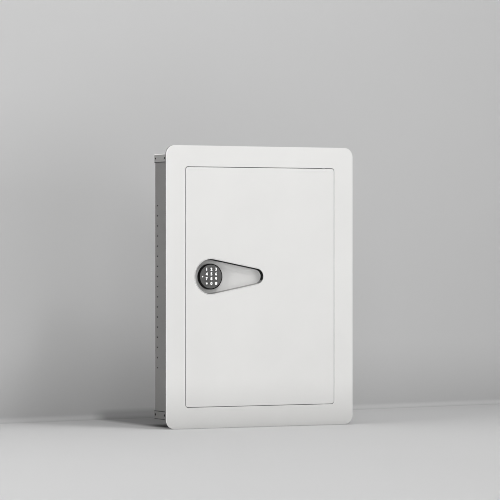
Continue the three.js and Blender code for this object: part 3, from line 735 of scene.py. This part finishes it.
def make_case_shell():
    low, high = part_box("case_shell")
    sheet, fold = 1.5 * MM, 1.7 * MM
    outer = block("case_shell_fine", low, high)

    def upright_behind(rear):
        return lambda a, b: a.y > rear and b.y > rear and abs(a.x - b.x) < SAME

    round_edges(outer, fold, upright_behind(high.y - SAME))
    inner_low = (low.x + sheet, low.y - CLEAR, low.z - CLEAR)
    inner_high = (high.x - sheet, high.y - sheet, high.z + CLEAR)
    inside = block("case_hollow", inner_low, inner_high)
    round_edges(inside, fold - sheet, upright_behind(high.y - sheet - SAME))
    pitch, rows, columns = 20 * MM, 17, (44 * MM, 88 * MM)
    stud_y, stud_z = 46.5 * MM, 211.5 * MM
    shelf_holes = [(0, y, (i - (rows - 1) / 2) * pitch) for y in columns for i in range(rows)]
    stud_holes = [(0, stud_y, z) for z in (-stud_z, stud_z)]
    reach = high.x + CLEAR
    small = drills("shelf_holes", SHELF_HOLE, shelf_holes, "X", -reach, reach, 20)
    large = drills("stud_holes", STUD_HOLE, stud_holes, "X", -reach, reach, 32)
    carve(outer, inside, small, large)
    holes = [(y, z, SHELF_HOLE) for _, y, z in shelf_holes] + [(y, z, STUD_HOLE) for _, y, z in stud_holes]
    # The holes' linings are near black: painted shade.
    paint_faces(outer, 1, in_a_hole(holes))
    return settle(outer, "housing", [CASE_GREY_AND_SHADE, SHADE_BLACK], ["case_shell"])


def in_a_hole(holes):
    """A test for the faces that line round holes along X, listed as (y, z, radius)."""

    def test(centre, normal):
        if abs(normal.x) > 0.3:
            return False
        return any(math.hypot(centre.y - y, centre.z - z) < radius + 0.1 * MM for y, z, radius in holes)

    return test


def make_case_pan(node, side):
    """The top or bottom pan, folded down at both sides and the back."""
    low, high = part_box(node)
    sheet, fold = 1.0 * MM, 1.1 * MM
    flat_z = high.z if side > 0 else low.z
    pan = block(node + "_fine", low, high)

    def is_fold(corner, top):
        def test(a, b):
            on_top = abs(a.z - top) < SAME and abs(b.z - top) < SAME
            sideways = abs(a.x - b.x) < SAME and abs(abs(a.x) - corner.x) < SAME
            rear = abs(a.y - corner.y) < SAME and abs(b.y - corner.y) < SAME
            upright = abs(a.x - b.x) < SAME and rear
            return (on_top and (sideways or rear)) or upright

        return test

    round_edges(pan, fold, is_fold(high, flat_z))
    inner_low = Vector((low.x + sheet, low.y - CLEAR, low.z - CLEAR if side > 0 else low.z + sheet))
    inner_high = Vector((high.x - sheet, high.y - sheet, high.z - sheet if side > 0 else high.z + CLEAR))
    hollow = block("pan_hollow", inner_low, inner_high)
    round_edges(hollow, fold - sheet, is_fold(inner_high, flat_z - side * sheet))
    weld_drop = 8.9 * MM
    weld_columns = (13 * MM, 51.5 * MM, 95 * MM)
    holes = [(0, y, flat_z - side * weld_drop) for y in weld_columns]
    reach = high.x + CLEAR
    carve(pan, hollow, drills("weld_holes", WELD_HOLE, holes, "X", -reach, reach, 24))
    # The weld holes' linings are near black: painted shade.
    paint_faces(pan, 1, in_a_hole([(y, z, WELD_HOLE) for _, y, z in holes]))
    # Slot 2 is the folds: the painted highlight on the top pan, near-black painted shade on the bottom one.
    paint_faces(pan, 2, lambda centre, normal: 0.15 < side * normal.z < 0.97)
    # A band along the pan's open edge is near black: painted shade in the joint with the case.
    shade_band = 1.1 * MM
    rim_z = low.z if side > 0 else high.z
    score(pan, rim_z + side * shade_band)
    paint_faces(pan, 1, lambda centre, normal: abs(centre.z - rim_z) < shade_band)
    welds = []
    for _, y, z in holes:
        for face in (low.x, high.x):
            inward = -1 if face > 0 else 1
            rim = WELD_HOLE - 0.1 * MM
            crown = [(0, 0.25), (0.6 * rim / MM, 0.3), (rim / MM, 0.5), (rim / MM, 0.95), (0, 0.95)]
            profile = [(out * MM, face + inward * deep * MM) for out, deep in crown]
            welds.append(turned(f"weld_{len(welds)}", profile, (0, y, z), "X", 24))
    plugs = join(f"plug_welds_{'top' if side > 0 else 'bottom'}", *welds)
    # The plug welds' dimples are near black: painted shade.
    settle(plugs, "housing", SHADE_BLACK)
    # The bottom pan takes the case grey and near-black folds: painted shade under the case.
    paints = [PAN_PAINT, SHADE_BLACK, FOLD_HIGHLIGHT] if side > 0 else [CASE_GREY_AND_SHADE, SHADE_BLACK, SHADE_BLACK]
    return settle(pan, "housing", paints, [node])


# ---------------------------------------------------------------- the rest, from the CAD shapes
JAMBS = ["jamb_latch_side", "jamb_hinge_side", "jamb_head", "jamb_sill"]
CLIPS = [f"shelf_clip_{height}_{side}" for height in ("upper", "lower") for side in ("left", "right")]
# Each row: body, colour slot, material, width of the rounded edges in mm, and the CAD nodes.
FINE = [
    ("housing", "inner_steel", INNER_PAINT, 0.35, JAMBS),
    ("housing", "inner_steel", INNER_PAINT, 0.4, ["shelf_upper", "shelf_lower"]),
    ("housing", "bright_steel", ZINC, 0.25, CLIPS),
    ("housing", "brass_bush", BRASS, 0.15, ["hinge_bush_top", "hinge_bush_bottom"]),
    ("housing", "black_rubber", RUBBER, 0.4, ["door_bumper"]),
    ("housing", "grey_felt", FELT, 0.8, ["floor_liner"]),
    ("door", "inner_steel", INNER_PAINT, 0.35, ["door_tray", "door_cover"]),
    ("door", "bright_steel", ZINC, 0.4, ["door_pivot_top", "door_pivot_bottom"]),
    ("door", "bright_steel", STEEL, 0.3, ["guide_stud_upper", "guide_stud_lower"]),
    ("door", "brass_bush", BRASS, 0.3, ["spindle_bush"]),
    ("door", "black_plastic", BLACK_PLASTIC, 0.4, ["solenoid_body", "control_module", "battery_box"]),
    ("battery_lid", "black_plastic", BLACK_PLASTIC, 0.35, ["battery_lid"]),
    ("reset_button", "red_plastic", RED_PLASTIC, 0.4, ["reset_button"]),
    ("plunger", "bright_steel", STEEL, 0.2, ["solenoid_plunger"]),
    ("bolt_work", "bright_steel", ZINC, 0.25, ["bolt_bar"]),
    ("knob", "bright_steel", STEEL, 0.3, ["knob_spindle"]),
    ("knob", "bright_steel", ZINC, 0.25, ["cam_disc", "cam_clip"]),
]


def make_fine_copies():
    for body, slot, material, edge, nodes in FINE:
        for node in nodes:
            piece = fine_copy(node, body, material, edge * MM)
            if node in CLIPS:
                piece.data.materials.append(SHADE_BLACK)
                # The pegs' ends, out in the holes, get painted shade.
                paint_faces(piece, 1, lambda centre, normal: abs(centre.x) > PEG_END)


def make_bolts():
    for place in ("upper", "middle", "lower"):
        node = "lock_bolt_" + place
        low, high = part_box(node)
        centre = middle(node)
        radius = (high.z - low.z) / 2
        nose, heel = 1.5 * MM, 0.5 * MM
        rounding = reversed(arc((0, 0), nose, 0, 90, 5))
        profile = [(0, low.x), (radius - nose, low.x)]
        profile += [(radius - nose + dx, low.x + nose - dy) for dx, dy in rounding][1:]
        profile += [(radius, high.x - heel), (radius - heel, high.x), (0, high.x)]
        piece = turned(node + "_fine", profile, (0, centre.y, centre.z), "X", 64)
        settle(piece, "bolt_work", STEEL, [node])


# Millimetres: the screw head's inset and rise from its seat, and half the size of each arm of the cross.
HEAD_CURVE = [(0, 0), (0, 0.7), (0.4, 1.25), (1.2, 1.7)]
CROSS_ARMS = [(1.7, 0.35), (0.35, 1.7)]


def make_screws():
    """Pan-head screws with a cross recess."""
    for i in range(1, 5):
        node = f"cover_screw_{i}"
        low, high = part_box(node)
        centre = middle(node)
        side = 1 if centre.z > 0 else -1
        tip, top = (low.z, high.z) if side > 0 else (high.z, low.z)
        head, shank = (high.x - low.x) / 2, 1.7 * MM
        seat = top - side * 1.9 * MM
        profile = [(0, tip), (shank - 0.4 * MM, tip), (shank, tip + side * 0.5 * MM), (shank, seat)]
        profile += [(head - inset * MM, seat + side * rise * MM) for inset, rise in HEAD_CURVE]
        profile += [(head - 2.2 * MM, top), (0, top)]
        screw = turned(node + "_fine", profile, (centre.x, centre.y, 0), "Z", 40)
        cut_low, cut_high = sorted((top + side * MM, top - side * 1.1 * MM))
        arms = []
        for half_x, half_y in CROSS_ARMS:
            low_corner = (centre.x - half_x * MM, centre.y - half_y * MM, cut_low)
            high_corner = (centre.x + half_x * MM, centre.y + half_y * MM, cut_high)
            arms.append(block("cross", low_corner, high_corner))
        carve(screw, *arms)
        settle(screw, "door", ZINC, [node])


def make_cells():
    node = "battery_pack"
    low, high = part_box(node)
    sleeve = cell_sleeve("cell sleeve", (0.02, 0.09, 0.05), (0.62, 0.5, 0.22), low.z, high.z)
    radius = (high.y - low.y) / 2
    count = 4
    pitch = ((high.x - low.x) - 2 * radius) / (count - 1)
    cells = []
    for i in range(count):
        centre = (low.x + radius + i * pitch, (low.y + high.y) / 2, 0)
        r = radius - 0.02 * MM
        shoulder, cap = high.z - 1.4 * MM, 2.7 * MM
        profile = [(0, low.z), (r - 1 * MM, low.z), (r, low.z + 0.8 * MM), (r, high.z - 2.2 * MM)]
        profile += [(r - 1 * MM, shoulder), (cap, shoulder), (cap, high.z), (0, high.z)]
        cells.append(turned(f"cell_{i}", profile, centre, "Z", 40))
    return settle(join(node + "_fine", *cells), "door", sleeve, [node])


def paint_lead():
    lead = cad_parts["solenoid_lead"]
    lead.data.materials.clear()
    lead.data.materials.append(BLACK_PLASTIC)


# ---------------------------------------------------------------- stage and light
FLOOR_Z = cad_box[0].z
WALL_Y = 0.393
WALL_TURN = math.radians(9.4)
LOW = ("Z", FLOOR_Z + 0.022, FLOOR_Z + 0.003)
# The darkness and slopes of the soft shadow behind the safe, and of the deeper one at the foot of its case.
# They are painted on the stage, so they stay where they are when the safe moves.
SHADOWS = [
    (0.5, [("X", -0.208, -0.172), ("X", 0.208, 0.172), ("Y", 0.06, 0.1), LOW]),
    (0.8, [("X", -0.196, -0.166), ("X", 0.196, 0.166), ("Y", 0.03, 0.09), ("Y", 0.18, 0.11), LOW]),
]


def patch(tree, slopes):
    """1 in a part of the room and 0 outside it: each slope is an axis, where it is 0, and where it is 1."""
    place = tree.nodes.new("ShaderNodeNewGeometry").outputs["Position"]
    axes = tree.nodes.new("ShaderNodeSeparateXYZ")
    tree.links.new(place, axes.inputs["Vector"])
    whole = None
    for axis, zero, one in slopes:
        part = spread(tree, axes.outputs[axis], 0, 1, zero, one)
        if whole is None:
            whole = part
            continue
        both = tree.nodes.new("ShaderNodeMath")
        both.operation = "MULTIPLY"
        tree.links.new(whole, both.inputs[0])
        tree.links.new(part, both.inputs[1])
        whole = both.outputs["Value"]
    return whole


def stage_paint(name, reach, depth):
    """Matt studio paint, seen only from its front, with painted shade where surfaces meet and the painted
    shadows behind the safe.
    """
    material, tree, shader, place = new_material(name)
    shade_drift = spread(tree, noise(tree, place, 0.8, 2), 0, 1)
    paint = blend_colours(tree, shade_drift, (0.60, 0.60, 0.60), (0.62, 0.62, 0.62))
    paint = shade_crevices(tree, paint, reach, depth)
    for darkness, slopes in SHADOWS:
        paint = blend_colours(tree, spread(tree, patch(tree, slopes), 0, darkness, 0, 1), paint, (0, 0, 0))
    tree.links.new(paint, shader.inputs["Base Color"])
    shader.inputs["Roughness"].default_value = 0.9
    shader.inputs["Specular IOR Level"].default_value = 0.1
    output = tree.nodes["Material Output"]
    clear = tree.nodes.new("ShaderNodeBsdfTransparent")
    choose = tree.nodes.new("ShaderNodeMixShader")
    side = tree.nodes.new("ShaderNodeNewGeometry")
    tree.links.new(side.outputs["Backfacing"], choose.inputs["Fac"])
    tree.links.new(shader.outputs["BSDF"], choose.inputs[1])
    tree.links.new(clear.outputs["BSDF"], choose.inputs[2])
    tree.links.new(choose.outputs["Shader"], output.inputs["Surface"])
    return material


def make_stage():
    reach, top, cove = 7.0, 4.0, 0.012
    profile = [(-reach, FLOOR_Z), (WALL_Y - cove, FLOOR_Z)]
    profile += [(WALL_Y - cove + dy, FLOOR_Z + cove + dz) for dy, dz in arc((0, 0), cove, -90, 0, 12)[1:]]
    profile += [(WALL_Y, top)]
    shape = bmesh.new()
    rows = []
    for x in (-reach, reach):
        rows.append([shape.verts.new((x, y, z)) for y, z in profile])
    for i in range(len(profile) - 1):
        shape.faces.new((rows[0][i], rows[1][i], rows[1][i + 1], rows[0][i + 1]))
    mesh = bpy.data.meshes.new("studio")
    shape.to_mesh(mesh)
    shape.free()
    # Reach and depth of the painted shade on the studio wall and on the floor.
    mesh.materials.append(stage_paint("studio wall", 0.16, 0.45))
    mesh.materials.append(stage_paint("studio floor", 0.022, 0.85))
    mesh.polygons[0].material_index = 1
    mesh.shade_smooth()
    studio = link("studio", mesh)
    studio.matrix_world = Matrix.Rotation(WALL_TURN, 4, "Z")


# Each soft box: azimuth to the right of the door's front and height above it in degrees, its distance and
# size in metres, and its power in watts.
SOFT_BOXES = {
    "left_wide": (-75, 5, 2.8, 1.1, 44.7),
    "right_wide": (55, 5, 2.8, 1.1, 19.3),
    "overhead": (0, 68, 3.23, 3.0, 19.2),
    "front_wide": (-20, 25, 2.8, 1.1, 14.2),
    "high_wide": (30, 65, 2.8, 1.1, 13.6),
    "key": (25, 55, 2.8, 0.4, 10.0),
    "front_low": (-20, 5, 2.8, 1.1, 1.8),
    "near_top": (8, 61, 1.48, 0.6, 1.4),
}


def make_lights():
    """Soft boxes that look at the middle of the safe, and no light from the world."""
    for name, (azimuth, elevation, distance, size, power) in SOFT_BOXES.items():
        turn, rise = math.radians(azimuth), math.radians(elevation)
        towards = Vector((math.cos(rise) * math.sin(turn), -math.cos(rise) * math.cos(turn), math.sin(rise)))
        data = bpy.data.lights.new(name, "AREA")
        data.shape = "SQUARE"
        data.size = size
        data.energy = power
        light = bpy.data.objects.new(name, data)
        light.location = towards * distance
        light.rotation_mode = "QUATERNION"
        light.rotation_quaternion = towards.to_track_quat("Z", "Y")
        bpy.context.scene.collection.objects.link(light)
    world = bpy.data.worlds.new("world")
    world.use_nodes = True
    world.node_tree.nodes["Background"].inputs["Color"].default_value = (0.5, 0.5, 0.5, 1)
    world.node_tree.nodes["Background"].inputs["Strength"].default_value = 0.02
    bpy.context.scene.world = world
    bpy.context.scene.view_settings.view_transform = "Standard"


# ---------------------------------------------------------------- assembly
make_camera()
make_front_frame()
make_door_panel()
make_handle_cup()
make_knob()
make_keys()
make_lens()
make_case_shell()
make_case_pan("case_top_cap", 1)
make_case_pan("case_bottom_cap", -1)
make_fine_copies()
make_bolts()
make_screws()
make_cells()
paint_lead()
make_stage()
make_lights()
